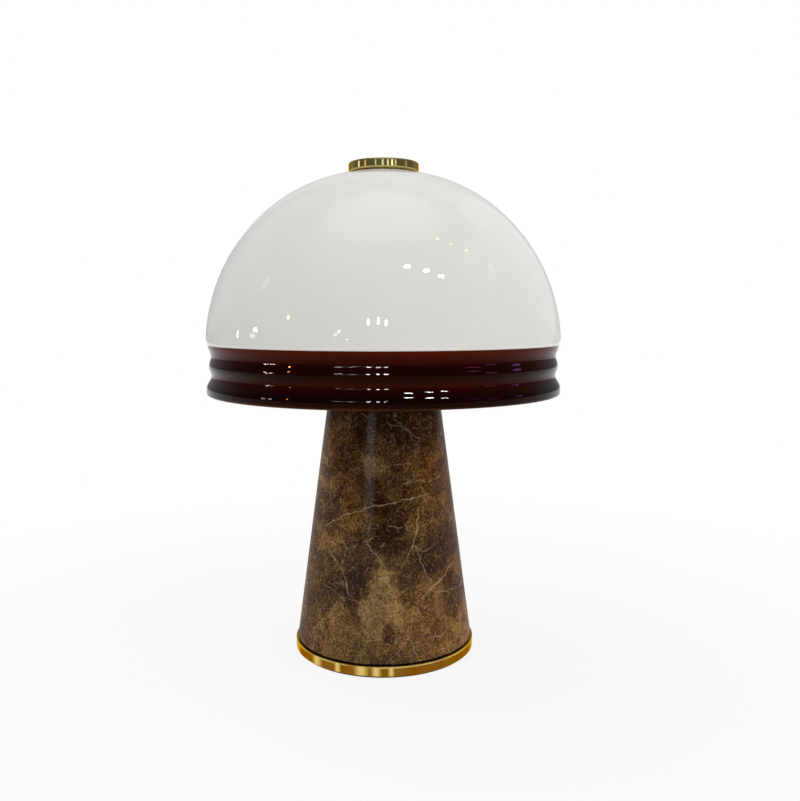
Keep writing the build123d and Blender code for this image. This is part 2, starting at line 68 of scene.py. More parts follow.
# Crown rod and nuts: a nut's round end face is a share of its width across flats
rod_pitch = 1.0 * mm
rod_thread_depth = 0.45 * mm
rod_chamfer = 0.8 * mm
nut_slack = 0.1 * mm
nut_face_share = 0.47
nut_chamfer_angle = radians(30)
tie_nut_bore = 6.1 * mm

# Lamp holders: radii of their holes, lengths of the thread's plain ends, and steps in the wall
holder_edge = 1.0 * mm
cap_wall = 1.5 * mm
cap_flutes = 20
flute_depth = 0.45 * mm
nipple_hole = 5.05 * mm
contact_hole = 2.55 * mm
holder_mouth = 10.5 * mm
shell_slack = 0.05 * mm
spigot_step = 1.55 * mm
holder_pitch = 2.6 * mm
holder_thread_depth = 0.7 * mm
plain_at_cap = 4 * mm
plain_at_mouth = 3 * mm

# Bulb caps: radii of the thread's crest and of the hole for the tip
bulb_crest = 7.0 * mm
bulb_tip_hole = 4.05 * mm
bulb_metal = 0.5 * mm
bulb_edge = 1.2 * mm
bulb_pitch = 2.82 * mm
bulb_thread_depth = 0.55 * mm
bulb_flare = 2 * mm
bulb_lip = 2 * mm

# Brass edges get a painted highlight, full at first and then fading out
edge_highlight_full = 1.2 * mm
edge_highlight_reach = 2.4 * mm

# Edges that turn more than this are drawn sharp
sharp_angle = radians(28)

# The amber glass mirrors in its own colour
amber_gloss = (1.0, 0.46, 0.26)

# Camera, as it stood for the photograph
lens_length = 38.65
camera_place = (0.0163, -0.8763, 0.3468)
camera_tilt_down = 0.103


# Meshes


def grid_faces(rows, columns, rows_close):
    """Quads between the neighbours of a grid whose columns close on themselves, and whose rows may."""
    row = np.arange(rows if rows_close else rows - 1)[:, None]
    column = np.arange(columns)[None, :]
    next_row = (row + 1) % rows
    next_column = (column + 1) % columns
    corners = [
        row * columns + column,
        row * columns + next_column,
        next_row * columns + next_column,
        next_row * columns + column,
    ]
    return np.stack(corners, axis=-1).reshape(-1, 4)


def angles(columns):
    """Even steps round a full turn."""
    return np.linspace(0, 2 * pi, columns, endpoint=False)


def carry_round(along, radius, columns, closed=True):
    """A profile carried round the Z axis: x = radius cos(angle), y = radius sin(angle), z = along.

    The profile runs up the outside and down the inside, and both of its values may change round the axis.
    A closed profile joins its ends, and an open one gets a flat cap at each end.
    """
    along, radius = (value if value.ndim == 2 else value[:, None] for value in (along, radius))
    angle = angles(columns)
    points = np.empty((len(along), columns, 3))
    points[..., 0] = radius * np.cos(angle)
    points[..., 1] = radius * np.sin(angle)
    points[..., 2] = along
    faces = grid_faces(len(along), columns, closed).tolist()
    if not closed:
        ring = np.arange(columns)
        faces += [ring[::-1].tolist(), (ring + (len(along) - 1) * columns).tolist()]
    return points.reshape(-1, 3), faces


def joined(*shapes):
    """Several shapes as one: all points in a row, and each shape's faces counted on from those before."""
    all_points = [points for points, faces in shapes]
    all_faces = []
    starts = np.cumsum([0] + [len(points) for points in all_points])
    for start, (points, faces) in zip(starts, shapes):
        all_faces += [[start + corner for corner in face] for face in faces]
    return np.concatenate(all_points), all_faces


def new_piece(name, points, faces, body, node):
    """A smooth mesh at the origin that rides on a body, stands for a node and has that node's finish."""
    slot = slots[node]
    mesh = bpy.data.meshes.new(name)
    mesh.from_pydata(points, [], faces)
    mesh.shade_smooth()
    mesh.set_sharp_from_angle(angle=sharp_angle)
    mesh.materials.append(finishes[slot])
    piece = bpy.data.objects.new(name, mesh)
    bpy.context.scene.collection.objects.link(piece)
    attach(piece, body)
    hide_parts(node)
    return piece


def arc(centre, radius, start, end, steps):
    """Points on a circle between two angles in degrees."""
    angle = np.radians(np.linspace(start, end, steps))
    return np.stack([centre[0] + radius * np.cos(angle), centre[1] + radius * np.sin(angle)], axis=1)


def straight(start, end, steps):
    """Points on a line from start up to, and without, its end."""
    share = np.linspace(0, 1, steps, endpoint=False)[:, None]
    return np.array(start) * (1 - share) + np.array(end) * share


# Shader nodes


def add(tree, kind, inputs=None, **settings):
    """Adds a node, sets its properties, and fills or links its inputs."""
    node = tree.nodes.new(kind)
    for key, value in settings.items():
        setattr(node, key, value)
    for key, value in (inputs or {}).items():
        if isinstance(value, bpy.types.NodeSocket):
            tree.links.new(value, node.inputs[key])
        else:
            node.inputs[key].default_value = value
    return node


def noise(tree, place, scale, detail=4.0, roughness=0.55, distortion=0.0):
    """Cloudy noise from 0 to 1, with about `scale` blobs to the metre."""
    inputs = {
        "Vector": place,
        "Scale": scale,
        "Detail": detail,
        "Roughness": roughness,
        "Distortion": distortion,
    }
    return add(tree, "ShaderNodeTexNoise", inputs).outputs["Fac"]


def math(tree, operation, first, second=0.0):
    """One sum on two values."""
    return add(tree, "ShaderNodeMath", {0: first, 1: second}, operation=operation).outputs[0]


def vectors(tree, operation, first, second):
    """One sum on two vectors."""
    return add(tree, "ShaderNodeVectorMath", {0: first, 1: second}, operation=operation).outputs[0]


def reshape(tree, value, low, high, to_low=0.0, to_high=1.0):
    """The value's range low to high brought smoothly to another range, and held there outside it."""
    inputs = {"Value": value, "From Min": low, "From Max": high, "To Min": to_low, "To Max": to_high}
    return add(tree, "ShaderNodeMapRange", inputs, interpolation_type="SMOOTHSTEP").outputs["Result"]


def blend(tree, share, first, second):
    """Two colours mixed by a share from 0 to 1."""
    return add(tree, "ShaderNodeMix", {0: share, 6: first, 7: second}, data_type="RGBA").outputs[2]


def colours(tree, value, stops):
    """A run of colours along a value, from pairs of position and colour."""
    node = add(tree, "ShaderNodeValToRGB", {"Fac": value})
    elements = node.color_ramp.elements
    while len(elements) < len(stops):
        elements.new(0.5)
    for element, (position, colour) in zip(elements, stops):
        element.position = position
        element.color = (*colour, 1)
    return node.outputs["Color"]


def bump(tree, height, distance):
    """A normal from a height that runs from 0 to 1 over `distance` metres."""
    inputs = {"Height": height, "Distance": distance, "Strength": 1.0}
    return add(tree, "ShaderNodeBump", inputs).outputs["Normal"]


def new_finish(name):
    """A new material, with its node tree, its shader and the Object coordinates that its patterns read."""
    finish = bpy.data.materials.new(name)
    finish.use_nodes = True
    tree = finish.node_tree
    shader = tree.nodes["Principled BSDF"]
    place = add(tree, "ShaderNodeTexCoord").outputs["Object"]
    return finish, tree, shader, place


def set_inputs(tree, shader, **inputs):
    """Fills or links the shader's sockets, whose names are written with underscores."""
    for key, value in inputs.items():
        socket = shader.inputs[key.replace("_", " ")]
        if isinstance(value, bpy.types.NodeSocket):
            tree.links.new(value, socket)
        elif socket.type == "RGBA":
            socket.default_value = (*value, 1)
        else:
            socket.default_value = value


# Finishes


def opal_glass(name, dark, light):
    """Glossy white cased glass, faintly cloudy, with a skin that ripples a little."""
    finish, tree, shader, place = new_finish(name)
    cloud = noise(tree, place, 30, 5)
    smear = noise(tree, place, 55, 6, 0.6)
    ripple = noise(tree, place, 16, 2)
    set_inputs(
        tree,
        shader,
        Base_Color=colours(tree, cloud, [(0.3, dark), (0.7, light)]),
        Roughness=reshape(tree, smear, 0.35, 0.75, 0.012, 0.030),
        IOR=1.5,
        Normal=bump(tree, ripple, 0.25 * mm),
    )
    return finish


def amber_glass():
    """Dark amber glass, its colour set by the depth below the seam, with painted glow.

    It is painted orange, as light shining through, where it laps the opal glass and in the lower groove,
    is nearly black in the ribs, and has a painted bright line of light at the rim.
    """
    finish, tree, shader, place = new_finish("amber_glass")
    height = add(tree, "ShaderNodeSeparateXYZ", {0: place}).outputs[2]
    below_seam = math(tree, "SUBTRACT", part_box("amber_band")[1].z, height)
    depth = math(tree, "MULTIPLY", below_seam, 1 / band_height)
    drift = math(tree, "MULTIPLY", math(tree, "SUBTRACT", noise(tree, place, 14, 3), 0.5), 0.10)
    smear = noise(tree, place, 60, 5, 0.6)
    ripple = noise(tree, place, 20, 2)
    # Painted glow: orange where light would shine through near the seam and in the lower groove, a bright
    # line at the rim
    tint = colours(
        tree,
        math(tree, "ADD", depth, drift),
        [
            (0.00, (0.115, 0.011, 0.001)),
            (0.15, (0.058, 0.003, 0.001)),
            (0.29, (0.016, 0.001, 0.001)),
            (0.47, (0.012, 0.001, 0.001)),
            (0.60, (0.036, 0.003, 0.001)),
            (0.70, (0.018, 0.001, 0.001)),
            (0.82, (0.006, 0.001, 0.001)),
            (0.95, (0.008, 0.001, 0.001)),
            (1.00, (0.090, 0.020, 0.003)),
        ],
    )
    set_inputs(
        tree,
        shader,
        Base_Color=tint,
        Transmission_Weight=0.35,
        Roughness=reshape(tree, smear, 0.4, 0.8, 0.01, 0.04),
        IOR=1.18,
        Specular_Tint=amber_gloss,
        Normal=bump(tree, ripple, 0.2 * mm),
    )
    return finish


def sway(tree, place, scale, reach):
    """The place moved to and fro by up to half of `reach` metres, by a noise of its own."""
    inputs = {"Vector": place, "Scale": scale, "Detail": 4.0}
    drift = add(tree, "ShaderNodeTexNoise", inputs).outputs["Color"]
    centred = vectors(tree, "SUBTRACT", drift, (0.5, 0.5, 0.5))
    shift = add(tree, "ShaderNodeVectorMath", {0: centred, "Scale": reach}, operation="SCALE").outputs[0]
    return vectors(tree, "ADD", place, shift)


def vein(tree, across, up, start, end, width):
    """A sheet of pale stone through the block, seen as a line from one place across and up to another.

    Its strength falls from 1 on the line to 0 at `width` beside it, and fades out beyond both ends.
    """
    run = Vector(end) - Vector(start)
    length = run.length
    run.normalize()
    from_x = math(tree, "SUBTRACT", across, start[0])
    from_z = math(tree, "SUBTRACT", up, start[1])

    def turned(operation, share_x, share_z):
        across_part = math(tree, "MULTIPLY", from_x, share_x)
        return math(tree, operation, across_part, math(tree, "MULTIPLY", from_z, share_z))

    along = turned("ADD", run.x, run.y)
    beside = turned("SUBTRACT", run.y, run.x)
    core = reshape(tree, math(tree, "ABSOLUTE", beside), width, width * 0.15)
    middle = math(tree, "ABSOLUTE", math(tree, "SUBTRACT", along, length / 2))
    return math(tree, "MULTIPLY", core, reshape(tree, middle, length * 0.55, length * 0.40))


def oval(tree, place, middle, half_width, half_height):
    """A fragment through the block, seen from the front as an oval: 1 inside, 0 outside, a narrow border."""
    offset = vectors(tree, "SUBTRACT", place, (middle[0], 0, middle[1]))
    scaled = vectors(tree, "MULTIPLY", offset, (1 / half_width, 0, 1 / half_height))
    away = add(tree, "ShaderNodeVectorMath", {0: scaled}, operation="LENGTH").outputs["Value"]
    return reshape(tree, away, 1.15, 0.80)


# Colours of the stone along its tone, from dark to light
stone_colours = [
    (0.29, (0.017, 0.003, 0.001)),
    (0.41, (0.057, 0.025, 0.005)),
    (0.49, (0.114, 0.057, 0.015)),
    (0.57, (0.198, 0.113, 0.036)),
    (0.69, (0.345, 0.240, 0.112)),
]

# Patches of the stone, seen from the front: middle across and up, half width, half height, lighter or darker
stone_patches = [
    ((-0.002, 0.062), 0.022, 0.044, 0.16),
    ((-0.022, 0.026), 0.026, 0.024, 0.06),
    ((0.007, 0.133), 0.018, 0.015, -0.16),
    ((-0.010, 0.112), 0.008, 0.008, -0.14),
    ((0.009, 0.045), 0.009, 0.011, -0.20),
    ((-0.034, 0.083), 0.020, 0.014, -0.14),
    ((0.050, 0.110), 0.014, 0.018, -0.08),
    ((-0.002, 0.232), 0.036, 0.024, -0.10),
]

# Long veins, seen from the front and from the side: start and end across and up, width and strength
front_veins = [
    ((-0.060, 0.138), (-0.014, 0.161), 0.9 * mm, 0.50),
    ((-0.020, 0.160), (0.048, 0.171), 1.0 * mm, 0.60),
    ((0.034, 0.162), (0.030, 0.118), 0.8 * mm, 0.60),
    ((0.031, 0.124), (0.018, 0.103), 0.6 * mm, 0.50),
    ((0.031, 0.122), (0.047, 0.083), 0.6 * mm, 0.50),
    ((0.069, 0.097), (0.036, 0.071), 1.4 * mm, 0.45),
    ((0.050, 0.0745), (0.070, 0.0710), 0.7 * mm, 0.60),
    ((-0.052, 0.116), (-0.039, 0.100), 0.7 * mm, 0.50),
    ((-0.040, 0.102), (-0.033, 0.076), 0.7 * mm, 0.55),
    ((-0.015, 0.129), (0.004, 0.104), 0.9 * mm, 0.50),
    ((0.025, 0.038), (0.037, 0.010), 0.6 * mm, 0.55),
    ((0.054, 0.026), (0.063, 0.012), 0.6 * mm, 0.50),
    ((0.010, 0.245), (0.037, 0.224), 0.6 * mm, 0.45),
    ((0.004, 0.1435), (0.018, 0.1410), 0.6 * mm, 0.55),
    ((0.009, 0.1450), (0.015, 0.1370), 0.55 * mm, 0.45),
    ((0.019, 0.1440), (0.026, 0.1340), 0.55 * mm, 0.45),
    ((0.042, 0.0345), (0.057, 0.0335), 0.6 * mm, 0.70),
    ((-0.028, 0.0710), (-0.010, 0.0610), 0.6 * mm, 0.50),
    ((-0.058, 0.0820), (-0.028, 0.0710), 0.55 * mm, 0.40),
    ((-0.028, 0.2050), (-0.004, 0.2030), 0.55 * mm, 0.30),
]
side_veins = [
    ((-0.030, 0.070), (0.045, 0.105), 1.0 * mm, 0.55),
    ((0.020, 0.090), (0.030, 0.150), 0.8 * mm, 0.50),
    ((0.028, 0.150), (-0.015, 0.190), 0.8 * mm, 0.50),
    ((-0.025, 0.130), (0.010, 0.160), 0.7 * mm, 0.45),
    ((-0.020, 0.030), (0.030, 0.045), 0.8 * mm, 0.50),
    ((0.035, 0.020), (0.060, 0.060), 0.7 * mm, 0.45),
    ((-0.010, 0.215), (0.035, 0.235), 0.7 * mm, 0.45),
]


def cell_tone(tree, place, scale):
    """A random tone from 0 to 1 for each cell of a broken pattern, with about `scale` cells to the metre."""
    cells = add(tree, "ShaderNodeTexVoronoi", {"Vector": place, "Scale": scale}).outputs["Color"]
    return add(tree, "ShaderNodeSeparateColor", {0: cells}).outputs[0]


def hair_veins(tree, place, cracked, scale, width, patchiness, strength):
    """Pale lines along the breaks between cells, kept only in patches and interrupted along their run."""
    cells = {"Vector": cracked, "Scale": scale}
    edge = add(tree, "ShaderNodeTexVoronoi", cells, feature="DISTANCE_TO_EDGE").outputs["Distance"]
    line = reshape(tree, edge, width, 0.0)
    kept = reshape(tree, noise(tree, place, patchiness, 3), 0.51, 0.60)
    broken = reshape(tree, noise(tree, place, 170, 2), 0.42, 0.54)
    shown = math(tree, "MULTIPLY", kept, broken)
    return math(tree, "MULTIPLY", math(tree, "MULTIPLY", line, shown), strength)


def needles(tree, place, lean, strength):
    """Needles of pale crystal: the peaks of a noise drawn out seven times along a leaning line."""
    inputs = {"Vector": place, "Rotation": (0, lean, 0), "Scale": (1, 1, 7)}
    drawn_out = add(tree, "ShaderNodeMapping", inputs, vector_type="TEXTURE").outputs[0]
    return reshape(tree, noise(tree, drawn_out, 620, 2), 0.64, 0.80, 0.0, strength)


def stone_tone_and_shade(tree, place, warped, grain):
    """The stone's tone from dark to light: layers of fragments, clouds, crystals and grain, and the patches.

    It gets darker towards the top of the block: painted shade where the glass shade overhangs it.
    """
    height = add(tree, "ShaderNodeSeparateXYZ", {0: place}).outputs[2]
    ragged = sway(tree, place, 300.0, 0.003)
    layers = [
        (cell_tone(tree, warped, 32.0), 0.19),
        (cell_tone(tree, warped, 78.0), 0.15),
        (reshape(tree, noise(tree, warped, 15, 3), 0.34, 0.66), 0.12),
        (noise(tree, warped, 85, 8, 0.66), 0.34),
        (cell_tone(tree, ragged, 420.0), 0.08),
        (cell_tone(tree, ragged, 900.0), 0.26),
        (grain, 0.95),
    ]
    # Painted shade: darker towards the top of the block, under the overhanging glass shade
    tone_and_painted_light = reshape(tree, height, 0.03, 0.20, -0.37, -0.44)
    tone_and_painted_light = math(tree, "ADD", tone_and_painted_light, reshape(tree, height, 0.19, 0.25, 0.0, -0.17))
    for layer, weight in layers:
        tone_and_painted_light = math(tree, "ADD", tone_and_painted_light, math(tree, "MULTIPLY", layer, weight))
    for middle, half_width, half_height, weight in stone_patches:
        patch = oval(tree, warped, middle, half_width, half_height)
        tone_and_painted_light = math(tree, "ADD", tone_and_painted_light, math(tree, "MULTIPLY", patch, weight))
    return tone_and_painted_light


def pale_lines(tree, place):
    """All that is pale in the stone: hair veins, needles, flecks and long veins, whichever is strongest."""
    cracked = sway(tree, sway(tree, place, 45.0, 0.010), 220.0, 0.003)
    layers = [
        hair_veins(tree, place, cracked, 24.0, 0.014, 17, 0.50),
        hair_veins(tree, place, cracked, 55.0, 0.024, 24, 0.40),
        hair_veins(tree, place, cracked, 120.0, 0.045, 30, 0.32),
        needles(tree, place, 0.5, 0.36),
        needles(tree, place, -0.6, 0.36),
        needles(tree, place, 1.3, 0.46),
        reshape(tree, noise(tree, place, 420, 3, 0.6, 1.5), 0.61, 0.73, 0.0, 0.46),
    ]
    bent = sway(tree, sway(tree, place, 34.0, 0.012), 160.0, 0.006)
    part = add(tree, "ShaderNodeSeparateXYZ", {0: bent}).outputs
    uneven = reshape(tree, noise(tree, place, 120, 2), 0.35, 0.60, 0.55, 1.15)
    for across, lines in [(part[0], front_veins), (part[1], side_veins)]:
        for start, end, width, strength in lines:
            line = math(tree, "MULTIPLY", vein(tree, across, part[2], start, end, width), uneven)
            layers.append(math(tree, "MULTIPLY", line, strength))
    strongest = layers[0]
    for layer in layers[1:]:
        strongest = math(tree, "MAXIMUM", strongest, layer)
    return strongest


def marble():
    """Polished brown marble, broken and healed, rusty in places, with pale veins and dark pits."""
    finish, tree, shader, place = new_finish("marble")
    warped = sway(tree, sway(tree, place, 26.0, 0.020), 150.0, 0.0035)
    grain = noise(tree, place, 820, 3, 0.75)
    tone_and_painted_light = stone_tone_and_shade(tree, place, warped, grain)
    stone = colours(tree, math(tree, "MULTIPLY", tone_and_painted_light, 0.62), stone_colours)
    rusty = reshape(tree, noise(tree, warped, 14, 2), 0.36, 0.66)
    rust = blend(tree, rusty, (1.0, 1.0, 1.0, 1), (1.03, 0.94, 0.74, 1))
    stained = {0: 1.0, 6: stone, 7: rust}
    stone = add(tree, "ShaderNodeMix", stained, data_type="RGBA", blend_type="MULTIPLY").outputs[2]
    veins = pale_lines(tree, place)
    pit = reshape(tree, noise(tree, place, 130, 3, 0.5), 0.32, 0.25, 0.0, 0.8)
    pitted = blend(tree, pit, stone, (0.018, 0.005, 0.001, 1))
    set_inputs(
        tree,
        shader,
        Base_Color=blend(tree, veins, pitted, (0.40, 0.30, 0.18, 1)),
        Roughness=reshape(tree, grain, 0.3, 0.8, 0.35, 0.60),
        Specular_IOR_Level=0.0,
        Coat_Weight=0.24,
        Coat_Roughness=0.12,
        Normal=bump(tree, math(tree, "SUBTRACT", grain, veins), 0.015 * mm),
    )
    return finish


def brass(name, dark, light, roughness, highlight_height=None, highlight_streaks=()):
    """Turned and polished brass: fine rings round the lamp's axis, a painted highlight along an edge at a
    set height, and painted highlight streaks where the upright rim mirrors bright things.

    A streak lies at a bearing in degrees, 0 at the front and 90 at the right, and fades over a half width.
    """
    finish, tree, shader, place = new_finish(name)
    part = add(tree, "ShaderNodeSeparateXYZ", {0: place}).outputs
    flat = add(tree, "ShaderNodeCombineXYZ", {0: part[0], 1: part[1]}).outputs[0]
    radius = add(tree, "ShaderNodeVectorMath", {0: flat}, operation="LENGTH").outputs["Value"]
    rings = add(tree, "ShaderNodeCombineXYZ", {0: radius, 1: part[2]}).outputs[0]
    line = noise(tree, rings, 2600, 3, 0.6)
    tone_and_painted_light = reshape(tree, noise(tree, flat, 40, 3), 0.35, 0.65, 0.0, 0.08)
    # A painted highlight: lighter, mottled brass along the edge at this height, fading out below and above
    # it
    if highlight_height:
        away = math(tree, "ABSOLUTE", math(tree, "SUBTRACT", part[2], highlight_height))
        edge_highlight = reshape(tree, noise(tree, place, 25, 3), 0.35, 0.60, 0.25, 0.95)
        edge_highlight = math(tree, "MULTIPLY", edge_highlight, reshape(tree, away, edge_highlight_reach, edge_highlight_full))
        tone_and_painted_light = math(tree, "MAXIMUM", tone_and_painted_light, edge_highlight)
    # Painted highlight streaks: lighter brass at set bearings on the upright rim, as where it mirrors bright
    # things
    if highlight_streaks:
        normal = add(tree, "ShaderNodeNewGeometry").outputs["Normal"]
        facing_up = math(tree, "ABSOLUTE", add(tree, "ShaderNodeSeparateXYZ", {0: normal}).outputs[2])
        upright = reshape(tree, facing_up, 0.5, 0.2)
        bearing = math(tree, "ARCTAN2", part[0], math(tree, "MULTIPLY", part[1], -1.0))
    for degrees, half_width in highlight_streaks:
        away = math(tree, "ABSOLUTE", math(tree, "SUBTRACT", bearing, radians(degrees)))
        highlight_streak = math(tree, "MULTIPLY", reshape(tree, away, radians(half_width), 0.0), upright)
        tone_and_painted_light = math(tree, "MAXIMUM", tone_and_painted_light, highlight_streak)
    set_inputs(
        tree,
        shader,
        Base_Color=colours(tree, tone_and_painted_light, [(0.0, dark), (1.0, light)]),
        Metallic=1.0,
        Specular_Tint=(0.95, 0.62, 0.16),
        Roughness=reshape(tree, line, 0.3, 0.7, roughness * 0.8, roughness * 1.25),
        Normal=bump(tree, line, 0.004 * mm),
    )
    return finish


def plain_metal(name, dark, light, roughness, scale):
    """Plated metal with a slow change of tint and fine scuffs."""
    finish, tree, shader, place = new_finish(name)
    tint = noise(tree, place, scale, 5, 0.6)
    scuff = noise(tree, place, scale * 9, 5, 0.65)
    set_inputs(
        tree,
        shader,
        Base_Color=colours(tree, tint, [(0.3, dark), (0.7, light)]),
        Metallic=1.0,
        Roughness=reshape(tree, scuff, 0.35, 0.75, roughness, roughness + 0.18),
        Normal=bump(tree, scuff, 0.01 * mm),
    )
    return finish


def moulded(name, dark, light, roughness, grain_scale, grain_depth):
    """Moulded plastic or rubber with a fine grain."""
    finish, tree, shader, place = new_finish(name)
    tint = noise(tree, place, 60, 4)
    grain = noise(tree, place, grain_scale, 3, 0.6)
    set_inputs(
        tree,
        shader,
        Base_Color=colours(tree, tint, [(0.3, dark), (0.7, light)]),
        Roughness=reshape(tree, grain, 0.3, 0.7, roughness, roughness + 0.12),
        Normal=bump(tree, grain, grain_depth),
    )
    return finish


def felt():
    """Short dark felt: a woolly nap with a soft sheen."""
    finish, tree, shader, place = new_finish("felt")
    nap = noise(tree, place, 900, 6, 0.75, 1.0)
    tint = noise(tree, place, 140, 5, 0.6)
    set_inputs(
        tree,
        shader,
        Base_Color=colours(tree, tint, [(0.3, (0.020, 0.016, 0.014)), (0.75, (0.050, 0.042, 0.036))]),
        Roughness=0.95,
        Sheen_Weight=0.12,
        Sheen_Roughness=0.5,
        Normal=bump(tree, nap, 0.25 * mm),
    )
    return finish


# Painted highlight streaks on the foot's rim: bearing and half width in degrees
foot_highlight_streaks = [
    (-150, 6), (-121, 5), (-96, 7), (-70, 4), (-45, 6), (-28.5, 3), (-13, 6),
    (-4, 4), (5, 2.5), (81, 6), (104, 4), (127, 7), (163, 6),
]
foot_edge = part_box("base_gasket")[0].z
finial_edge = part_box("finial_disc")[1].z
finishes = {
    "felt": felt(),
    # The foot's brass is painted darker and deeper than its own colour, painted shade for the shadowed floor
    # it mirrors
    "foot_brass": brass(
        "foot_brass", (0.215, 0.076, 0.001), (0.76, 0.55, 0.16), 0.10, foot_edge, foot_highlight_streaks
    ),
    "finial_brass": brass("finial_brass", (0.54, 0.43, 0.16), (0.74, 0.62, 0.30), 0.09, finial_edge),
    "stem_brass": brass("stem_brass", (0.50, 0.35, 0.11), (0.58, 0.42, 0.15), 0.28),
    "gasket_rubber": moulded(
        "gasket_rubber", (0.008, 0.007, 0.006), (0.016, 0.014, 0.012), 0.7, 700, 0.03 * mm
    ),
    "marble": marble(),
    "zinc_steel": plain_metal("zinc_steel", (0.46, 0.46, 0.48), (0.60, 0.60, 0.60), 0.28, 90),
    "black_nylon": moulded(
        "black_nylon", (0.016, 0.016, 0.017), (0.026, 0.026, 0.027), 0.45, 900, 0.03 * mm
    ),
    "white_nylon": moulded("white_nylon", (0.72, 0.71, 0.66), (0.80, 0.79, 0.74), 0.4, 700, 0.02 * mm),
    "holder_resin": moulded(
        "holder_resin", (0.014, 0.012, 0.011), (0.024, 0.021, 0.019), 0.24, 500, 0.015 * mm
    ),
    "contact_brass": plain_metal("contact_brass", (0.52, 0.38, 0.14), (0.64, 0.48, 0.20), 0.25, 120),
    "lead_sleeve": moulded("lead_sleeve", (0.62, 0.58, 0.49), (0.76, 0.72, 0.62), 0.7, 1500, 0.08 * mm),
    "bulb_nickel": plain_metal("bulb_nickel", (0.56, 0.55, 0.52), (0.68, 0.67, 0.64), 0.2, 110),
    "tip_glass": moulded("tip_glass", (0.014, 0.014, 0.016), (0.026, 0.026, 0.028), 0.12, 300, 0.01 * mm),
    "bulb_opal": opal_glass("bulb_opal", (0.82, 0.81, 0.78), (0.88, 0.87, 0.84)),
    "opal_glass": opal_glass("opal_glass", (0.776, 0.770, 0.738), (0.801, 0.796, 0.764)),
    "amber_glass": amber_glass(),
    "silicone": moulded("silicone", (0.60, 0.59, 0.56), (0.72, 0.71, 0.68), 0.5, 400, 0.02 * mm),
}
slots = {part["node"]: part["material_slot"] for part in frame["record"]["subparts"]}
for node, slot in slots.items():
    for material_slot in frame["nodes"][node].material_slots:
        material_slot.material = finishes[slot]


# Glass


def superellipse(half_width, rise, top, steps):
    """Radius and height of the dome's meridian, from the seam up to `top`: cos and sin to set powers."""
    last = asin((top / rise) ** (dome_crown / 2))
    turn = np.linspace(0, last, steps)
    return np.stack(
        [half_width * np.cos(turn) ** (2 / dome_round), rise * np.sin(turn) ** (2 / dome_crown)], axis=1
    )


def opal_dome():
    """The dome's outer and inner meridians, joined at a round rim and at the crown's hole, turned about Z.

    The outer skin ripples in and out by a tenth of a millimetre, as blown glass does: the sum of two waves
    round the dome and up it, which fades out at the crown and at the rim.
    """
    low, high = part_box("opal_dome")
    half_width = (high.x - low.x) / 2
    seam, crown = low.z, high.z
    rise = crown - seam
    outer = superellipse(half_width, dome_rise, rise, 150)
    outer = outer[outer[:, 1] > dome_rim_round]
    inner = superellipse(half_width - dome_wall, dome_rise - dome_wall, rise - dome_wall, 70)
    rim_centre = (half_width - dome_rim_round, dome_rim_round)
    outline = np.concatenate(
        [
            straight(inner[0], (rim_centre[0], 0), 4),
            arc(rim_centre, dome_rim_round, -90, 0, 10)[:-1],
            outer,
            straight(outer[-1], (crown_hole_radius, rise), 8)[1:],
            straight((crown_hole_radius, rise), (crown_hole_radius, rise - dome_wall), 3),
            straight((crown_hole_radius, rise - dome_wall), inner[-1], 8),
            inner[:0:-1],
        ]
    )
    columns = 256
    angle = angles(columns)
    radius, climb = outline[:, :1], outline[:, 1:] / rise
    wave = np.sin(3 * angle + 7 * climb) + 0.7 * np.sin(5 * angle - 11 * climb + 1.0)
    radius = radius * (1 + dome_ripple / half_width * np.sin(pi * climb) ** 2 * wave)
    points, faces = carry_round(outline[:, 1] + seam, radius, columns)
    return new_piece("opal_dome_glass", points, faces, "shade", "opal_dome")


def wave_line(edge, steps):
    """Radius and height of the band's face below the seam: groove flows into rib by 3t^2 - 2t^3."""
    share = np.linspace(0, 1, steps, endpoint=False)
    eased = share**2 * (3 - 2 * share)
    runs = []
    for (drop, inset), (next_drop, next_inset) in zip(band_waves[:-1], band_waves[1:]):
        radius = edge - inset - (next_inset - inset) * eased
        height = -drop - (next_drop - drop) * share
        runs.append(np.stack([radius, height], axis=1))
    return np.concatenate(runs)


def amber_band():
    """The band's wavy outer and inner faces, joined by a round rim below and a flat top under the dome."""
    low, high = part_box("amber_band")
    seam = high.z
    edge = (high.x - low.x) / 2 + band_waves[-1][1]
    outer = wave_line(edge, 22)
    inner = wave_line(edge - band_wall, 22)
    rim = (edge - band_waves[-1][1] - band_wall / 2, band_wall / 2 - band_height)
    lap = np.array([[0, seam_lap]])
    outline = np.concatenate(
        [
            outer[:1] + lap,
            outer,
            arc(rim, band_wall / 2, 0, -180, 24),
            inner[::-1],
            inner[:1] + lap,
        ]
    )
    outline = outline[::-1]
    points, faces = carry_round(outline[:, 1] + seam, outline[:, 0], 256)
    return new_piece("amber_band_glass", points, faces, "shade", "amber_band")


dome_glass = opal_dome()
band_glass = amber_band()


# Metalwork


def thread(along, columns, pitch, depth, start, end):
    """How far a round thread dips below its crest: a wave along the axis that climbs one pitch each turn.

    It fades out over a pitch at both ends of the threaded length.
    """
    along = along[:, None]
    wave = 0.5 - 0.5 * np.cos(2 * pi * along / pitch - angles(columns))
    fade = np.clip((along - start) / pitch, 0, 1) * np.clip((end - along) / pitch, 0, 1)
    return depth * wave * fade


def threaded_rod(low, high, radius, pitch, depth, edge, columns=32):
    """A rod with a thread from end to end and a chamfer at both ends."""
    along = np.linspace(low + edge, high - edge, int((high - low) / pitch * 8))
    wall = radius - thread(along, columns, pitch, depth, low, high)
    ends = np.full((1, columns), radius - edge)
    return carry_round(
        np.concatenate([[low], along, [high]]), np.concatenate([ends, wall, ends]), columns, closed=False
    )


